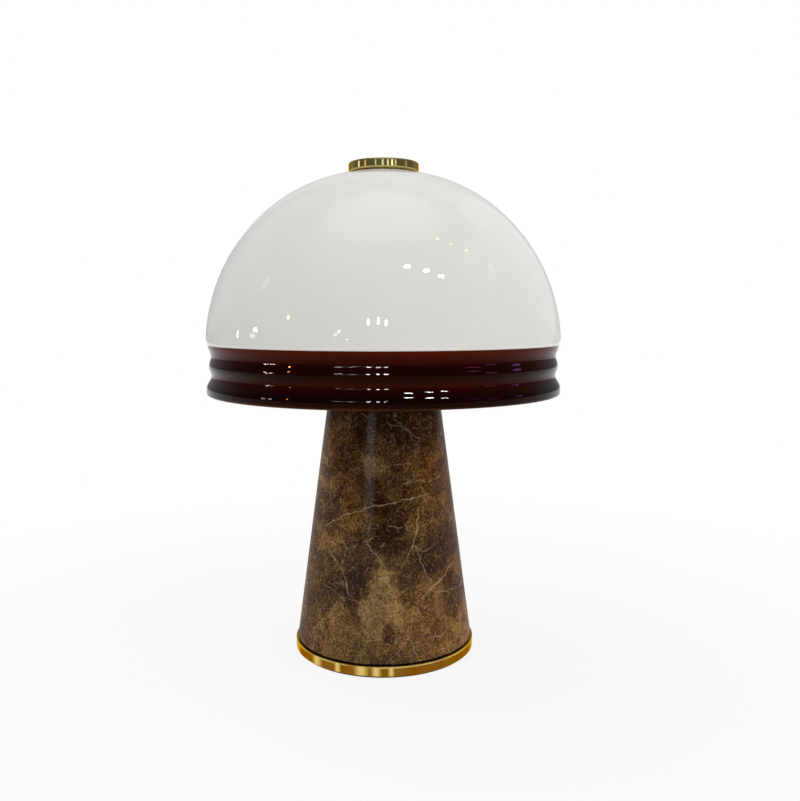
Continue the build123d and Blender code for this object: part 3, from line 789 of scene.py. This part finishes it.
def hex_nut(low, high, across_flats, bore, place=(0, 0)):
    """A nut with six flats, whose corners are cut by a chamfer at both ends.

    The flats lie at across_flats / 2 / cos(angle from the middle of the flat).
    """
    columns = 96
    from_middle = angles(columns) % (pi / 3) - pi / 6
    flats = across_flats / 2 / np.cos(from_middle)
    circle = np.full(columns, across_flats * nut_face_share)
    bore_wall = np.full(columns, bore / 2)
    cut = (flats - circle) * tan(nut_chamfer_angle)
    along = np.stack([low + 0 * cut, low + 0 * cut, low + cut, high - cut, high + 0 * cut, high + 0 * cut])
    radius = np.stack([bore_wall, circle, flats, flats, circle, bore_wall])
    points, faces = carry_round(along, radius, columns)
    return points + (*place, 0), faces


def rods_and_nuts():
    """The threaded crown rod, and every nut that can be seen from below or with the shade lifted off."""
    low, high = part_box("crown_rod")
    rod_radius = (high.x - low.x) / 2
    bore = 2 * rod_radius + nut_slack
    rod = threaded_rod(low.z, high.z, rod_radius, rod_pitch, rod_thread_depth, rod_chamfer)
    new_piece("crown_rod_threaded", *rod, "base", "crown_rod")
    low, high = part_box("seat_nut")
    new_piece("seat_nut_hex", *hex_nut(low.z, high.z, high.y - low.y, bore), "base", "seat_nut")
    nut_height = high.z - low.z
    low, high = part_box("rod_nuts")
    lower = hex_nut(low.z, low.z + nut_height, high.y - low.y, bore)
    upper = hex_nut(high.z - nut_height, high.z, high.y - low.y, bore)
    new_piece("rod_nuts_hex", *joined(lower, upper), "base", "rod_nuts")
    low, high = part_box("tie_nuts")
    across = high.y - low.y
    corner = across / 2 / cos(pi / 6)
    nuts = [hex_nut(low.z, high.z, across, tie_nut_bore, (x, 0)) for x in (low.x + corner, high.x - corner)]
    new_piece("tie_nuts_hex", *joined(*nuts), "base", "tie_nuts")


rods_and_nuts()


# Holders and bulbs


def aim(points, side):
    """Points made along the Z axis, turned to lie along a lamp's axis, which runs out to one side."""
    x, y, z = points.T
    return np.stack([side * z, side * x, y + lamp_height], axis=1)


def stations(*places, steps=2):
    """Values between neighbouring places, `steps` to each run, that end on the last place."""
    runs = [np.linspace(a, b, steps, endpoint=False) for a, b in zip(places[:-1], places[1:])]
    return np.concatenate([*runs, [places[-1]]])


def holder_cap(side, name):
    """The holder's cap: a cup with a chamfered back, and shallow flutes round its side to grip it by.

    The flutes are a cosine wave round the axis, and fade out towards both ends by 1 - t^8.
    """
    low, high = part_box(f"holder_cap_{name}")
    radius = (high.z - low.z) / 2
    back, front = sorted((abs(low.x), abs(high.x)))
    columns = 12 * cap_flutes
    wall_run = stations(back + 2 * holder_edge, front - 2 * holder_edge, steps=24)
    along = np.concatenate([[back, back, back + holder_edge], wall_run, [front, front]])
    outer = np.concatenate(
        [[nipple_hole, radius - holder_edge], np.full(len(along) - 3, radius), [radius - cap_wall]]
    )
    along = np.concatenate([along, [back + cap_wall, back + cap_wall]])
    outer = np.concatenate([outer, [radius - cap_wall, nipple_hole]])
    middle = (back + front) / 2
    half = (front - back) / 2 - 2 * holder_edge
    reach = np.clip(1 - ((along - middle) / half) ** 8, 0, 1)[:, None] * (outer == radius)[:, None]
    flutes = flute_depth * reach * (0.5 - 0.5 * np.cos(cap_flutes * angles(columns)))
    points, faces = carry_round(along, outer[:, None] - flutes, columns)
    new_piece(f"holder_cap_fluted_{name}", aim(points, side), faces, "base", f"holder_cap_{name}")


def holder_body(side, name):
    """The holder's body: a spigot into the cap, a coarse round thread outside, and a stepped bore inside."""
    low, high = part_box(f"holder_body_{name}")
    radius = (high.z - low.z) / 2
    back, front = sorted((abs(low.x), abs(high.x)))
    cap_low, cap_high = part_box(f"holder_cap_{name}")
    step = max(abs(cap_low.x), abs(cap_high.x))
    shell_low, shell_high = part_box(f"screw_shell_{name}")
    shell_back, shell_front = sorted((abs(shell_low.x), abs(shell_high.x)))
    shell_bore = (shell_high.z - shell_low.z) / 2 + shell_slack
    spigot = radius - spigot_step
    columns = 96
    outside = stations(step, front - holder_edge, steps=150)
    thread_start, thread_end = step + plain_at_cap, front - plain_at_mouth
    dips = thread(outside, columns, holder_pitch, holder_thread_depth, thread_start, thread_end)
    along = np.concatenate(
        [[back, back, step], outside, [front, front, shell_front, shell_front, shell_back, shell_back]]
    )
    before = np.array([contact_hole, spigot, spigot])
    after = np.array(
        [radius - holder_edge, holder_mouth, holder_mouth, shell_bore, shell_bore, contact_hole]
    )
    wall = np.concatenate(
        [np.repeat(before[:, None], columns, 1), radius - dips, np.repeat(after[:, None], columns, 1)]
    )
    points, faces = carry_round(along, wall, columns)
    new_piece(f"holder_body_threaded_{name}", aim(points, side), faces, "base", f"holder_body_{name}")


def bulb_cap(side, name):
    """The bulb's screw cap: thin metal rolled into a round thread, flared out to hold the globe's neck."""
    low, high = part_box(f"bulb_cap_{name}")
    start, end = sorted((abs(low.x), abs(high.x)))
    lip = (high.z - low.z) / 2
    flare_end = end - bulb_lip
    flare_start = flare_end - bulb_flare
    columns = 96
    rolled = stations(start + bulb_edge, flare_start, steps=70)
    dips = thread(rolled, columns, bulb_pitch, bulb_thread_depth, start + bulb_edge, flare_start)
    outer_along = np.concatenate([[start, start], rolled, [flare_end, end]])
    inner_along = np.concatenate([[end, flare_end], rolled[::-1], [start + bulb_edge]])
    outer = np.concatenate(
        [
            np.repeat([[bulb_tip_hole], [bulb_crest - bulb_edge]], columns, 1),
            bulb_crest - dips,
            np.full((2, columns), lip),
        ]
    )
    inner = np.concatenate(
        [
            np.full((2, columns), lip - bulb_metal),
            bulb_crest - bulb_metal - dips[::-1],
            np.full((1, columns), bulb_tip_hole),
        ]
    )
    points, faces = carry_round(
        np.concatenate([outer_along, inner_along]), np.concatenate([outer, inner]), columns
    )
    new_piece(f"bulb_cap_rolled_{name}", aim(points, side), faces, f"bulb_{name}", f"bulb_cap_{name}")


lamp_low, lamp_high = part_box("holder_cap_left")
lamp_height = (lamp_low.z + lamp_high.z) / 2
for name, side in {"left": -1, "right": 1}.items():
    holder_cap(side, name)
    holder_body(side, name)
    bulb_cap(side, name)


# Studio


def floor():
    """A wide pale disc, open under the foot and clear from below so that the underside can be looked at.

    Where it is seen, much of its white is its own, so that shadows stay faint.
    """
    columns = 96
    radii = np.array([0.080, 0.30, 0.80, 2.0, 12.0])
    drop = 0.2 * mm
    angle = angles(columns)
    x, y = np.outer(radii, np.cos(angle)), np.outer(radii, np.sin(angle))
    points = np.stack([x, y, np.full_like(x, -drop)], axis=-1).reshape(-1, 3)
    mesh = bpy.data.meshes.new("floor")
    mesh.from_pydata(points, [], grid_faces(len(radii), columns, False)[:, ::-1])
    disc = bpy.data.objects.new("floor", mesh)
    bpy.context.scene.collection.objects.link(disc)

    finish, tree, shader, place = new_finish("pale_floor")
    tree.nodes.remove(shader)
    ray = add(tree, "ShaderNodeLightPath").outputs
    seen = math(tree, "MAXIMUM", ray["Is Camera Ray"], ray["Is Transmission Ray"])
    seen = math(tree, "MAXIMUM", seen, ray["Is Glossy Ray"])
    distance = add(tree, "ShaderNodeVectorMath", {0: place}, operation="LENGTH").outputs["Value"]
    share = math(tree, "MULTIPLY", seen, reshape(tree, distance, 0.28, 0.80, 0.87, 1.0))
    painted = add(tree, "ShaderNodeBsdfDiffuse", {"Color": (0.78, 0.78, 0.78, 1)})
    white = add(tree, "ShaderNodeEmission", {"Color": (1, 1, 1, 1), "Strength": 1.0})
    top = add(tree, "ShaderNodeMixShader", {0: share, 1: painted.outputs[0], 2: white.outputs[0]})
    below = add(tree, "ShaderNodeNewGeometry").outputs["Backfacing"]
    clear = add(tree, "ShaderNodeBsdfTransparent")
    surface = add(tree, "ShaderNodeMixShader", {0: below, 1: top.outputs[0], 2: clear.outputs[0]})
    tree.links.new(surface.outputs[0], tree.nodes["Material Output"].inputs["Surface"])
    mesh.materials.append(finish)


def surroundings():
    """A pale room with soft light all round: white where it is seen, and dim where it is mirrored, but for a
    paler backdrop and a bright ceiling."""
    world = bpy.data.worlds.new("pale_room")
    bpy.context.scene.world = world
    world.use_nodes = True
    tree = world.node_tree
    tree.nodes.clear()
    ray = add(tree, "ShaderNodeLightPath").outputs
    direction = add(tree, "ShaderNodeTexCoord").outputs["Generated"]
    part = add(tree, "ShaderNodeSeparateXYZ", {0: direction}).outputs
    backdrop = reshape(tree, part[1], 0.15, 0.65, 0.0, 0.34)
    backdrop = math(tree, "MULTIPLY", backdrop, reshape(tree, part[0], -0.5, 0.6, 0.64, 0.5))
    ceiling = reshape(tree, part[2], 0.86, 0.96, 0.0, 0.8)
    mirrored = math(tree, "MULTIPLY", ray["Is Glossy Ray"], math(tree, "MAXIMUM", backdrop, ceiling))
    seen = math(tree, "MAXIMUM", ray["Is Camera Ray"], ray["Is Transmission Ray"])
    seen = math(tree, "MAXIMUM", seen, mirrored)
    dim = add(tree, "ShaderNodeBackground", {"Color": (1, 1, 1, 1), "Strength": 0.16})
    fill = add(tree, "ShaderNodeBackground", {"Color": (1, 1, 1, 1), "Strength": 0.68})
    white = add(tree, "ShaderNodeBackground", {"Color": (1, 1, 1, 1), "Strength": 1.0})
    lit = add(tree, "ShaderNodeMixShader", {0: ray["Is Glossy Ray"], 1: fill.outputs[0], 2: dim.outputs[0]})
    shown = add(tree, "ShaderNodeMixShader", {0: seen, 1: lit.outputs[0], 2: white.outputs[0]})
    output = add(tree, "ShaderNodeOutputWorld")
    tree.links.new(shown.outputs[0], output.inputs["Surface"])


def alone(piece):
    """A group with one piece in it, for lamps that light that piece alone."""
    group = bpy.data.collections.new(f"{piece.name}_light")
    group.objects.link(piece)
    return group


def studio_lamp(name, azimuth, elevation, width, height, glow, tint=(1, 1, 1), soft=False, only=None):
    """A lamp that faces the shade.

    Angles are in degrees as seen from the shade: azimuth 0 is the camera's side and 90 the right, width and
    height are what the lamp spans, and glow is its radiance. A soft lamp lights without showing in
    reflections, and the others show only there. A lamp may light one group of pieces alone.
    """
    target = Vector((0, -0.1, 0.40))
    distance = 6.0
    turn, climb = radians(azimuth), radians(elevation)
    outwards = Vector((sin(turn) * cos(climb), -cos(turn) * cos(climb), sin(climb)))
    data = bpy.data.lights.new(name, "AREA")
    data.shape = "RECTANGLE" if soft else "ELLIPSE"
    data.size = 2 * distance * tan(radians(width / 2))
    data.size_y = 2 * distance * tan(radians(height / 2))
    data.energy = 4 * glow * data.size * data.size_y
    data.color = tint
    lamp = bpy.data.objects.new(name, data)
    lamp.location = target + outwards * distance
    lamp.rotation_euler = (-outwards).to_track_quat("-Z", "Y").to_euler()
    lamp.visible_camera = False
    lamp.visible_glossy = not soft
    lamp.visible_diffuse = soft
    lamp.light_linking.receiver_collection = only
    bpy.context.scene.collection.objects.link(lamp)


floor()
surroundings()
white = (1, 1, 1)
warm = (1.0, 0.80, 0.50)
cool = (0.84, 0.93, 1.0)
pale_blue = (0.55, 0.80, 1.0)
violet = (0.60, 0.42, 1.0)
studio_lamp("key", -115, 62, 36, 36, 1.65, soft=True)
studio_lamp("fill", 50, 32, 60, 60, 0.62, (1.0, 0.96, 0.89), soft=True)

# The stone's own lamps: a soft upright streak on its front, and light along both edges
stone_only = alone(frame["nodes"]["marble_body"])
studio_lamp("stone_streak", -24, 3.3, 18, 10.5, 1.2, cool, only=stone_only)
studio_lamp("stone_streak_core", -24, 3.3, 7, 10.5, 3.2, cool, only=stone_only)
studio_lamp("stone_left", -105, 5, 30, 40, 6.0, (1.0, 0.90, 0.74), soft=True, only=stone_only)
studio_lamp("stone_right", 105, 5, 30, 40, 6.5, (1.0, 0.66, 0.26), soft=True, only=stone_only)

# Upright glints in the finial's rim: azimuth, width, glow and tint
finial_only = alone(frame["nodes"]["finial_disc"])
glint_elevation = 8
glint_height = 14
finial_glints = [
    (-88, 4, 2.0, cool),
    (-62, 3, 1.5, warm),
    (-25, 3, 1.3, pale_blue),
    (-2, 6, 1.3, pale_blue),
    (15, 3, 2.2, cool),
    (29, 5, 2.2, cool),
    (41, 2, 2.0, cool),
    (80, 8, 0.3, warm),
]
for azimuth, width, glow, tint in finial_glints:
    name = f"finial_glint_{azimuth}"
    studio_lamp(name, azimuth, glint_elevation, width, glint_height, glow, tint, only=finial_only)

# Highlights in the dome: azimuth, elevation, width, height, glow and tint
# The last three are wide panels behind the lamp, mirrored along the outline and brighter on the right
dome_highlights = [
    (21, 50, 4.4, 2.2, 30, cool),
    (36, 45.5, 4.1, 2.2, 30, cool),
    (46, 41, 3.8, 2.3, 30, cool),
    (-8.3, 16.9, 2.0, 4.6, 14, cool),
    (-2.4, 17.6, 2.0, 4.8, 16, cool),
    (2.6, 16.2, 2.0, 4.4, 14, cool),
    (67, 61, 1.9, 1.5, 5, warm),
    (75, 55, 1.9, 1.5, 4, warm),
    (82, 48, 1.9, 1.5, 4, warm),
    (-85, 7.0, 4.5, 2.2, 10, cool),
    (-87, 4.0, 5.0, 2.4, 3, cool),
    (-101, 3.5, 1.9, 3.4, 8, warm),
    (-61, 16, 1.9, 2.8, 8, warm),
    (-89, 28, 3.0, 6, 1.0, cool),
    (-28, 8.5, 3.0, 2.6, 4, cool),
    (-26, 10.5, 1.8, 1.6, 9, cool),
    (-21, 5.5, 1.2, 1.0, 9, cool),
    (91, 35, 5, 4, 1.0, violet),
    (180, 30, 120, 70, 0.08, white),
    (150, 25, 100, 60, 0.11, white),
    (110, 25, 90, 60, 0.16, white),
]

# Highlights in the band, with tints that make up for its amber colour
white_on_amber = (0.26, 0.56, 1.0)
pale_on_amber = (0.60, 0.84, 1.0)
orange_on_amber = (1.0, 0.80, 0.34)
purple_on_amber = (0.50, 0.22, 1.0)
band_highlights = [
    (21, 50, 4.8, 2.5, 800, white_on_amber),
    (36, 45.5, 4.5, 2.5, 800, white_on_amber),
    (46, 41, 4.2, 2.5, 800, white_on_amber),
    (-8.7, 17.6, 2.6, 4.2, 650, white_on_amber),
    (-2.6, 18.2, 2.6, 4.2, 650, white_on_amber),
    (2.3, 17.0, 2.6, 4.2, 650, white_on_amber),
    (-19, 17, 5, 1.2, 300, white_on_amber),
    (-28, 18, 6, 1.2, 300, white_on_amber),
    (-20, 14, 22, 0.7, 110, white_on_amber),
    (70, 50, 2.0, 2.0, 300, pale_on_amber),
    (-79, 9.0, 3.0, 1.8, 200, pale_on_amber),
    (-73, 7.0, 4.0, 1.6, 200, pale_on_amber),
    (-76, 4.0, 6.0, 1.2, 120, pale_on_amber),
    (-62, 18, 1.8, 2.8, 200, orange_on_amber),
    (60, 20, 12, 2.0, 12, purple_on_amber),
    (72, 9, 9, 5, 10, purple_on_amber),
    (95, 12, 8, 6, 6, purple_on_amber),
]

for name, glass, glints in [("dome", dome_glass, dome_highlights), ("band", band_glass, band_highlights)]:
    only = alone(glass)
    for number, (azimuth, elevation, width, height, glow, tint) in enumerate(glints):
        studio_lamp(f"{name}_highlight_{number}", azimuth, elevation, width, height, glow, tint, only=only)


# Camera

camera_data = bpy.data.cameras.new("camera")
camera_data.lens = lens_length
camera = bpy.data.objects.new("camera", camera_data)
camera.location = camera_place
camera.rotation_euler = (pi / 2 - camera_tilt_down, 0, 0)
bpy.context.scene.collection.objects.link(camera)
bpy.context.scene.camera = camera
bpy.context.scene.view_settings.view_transform = "Standard"
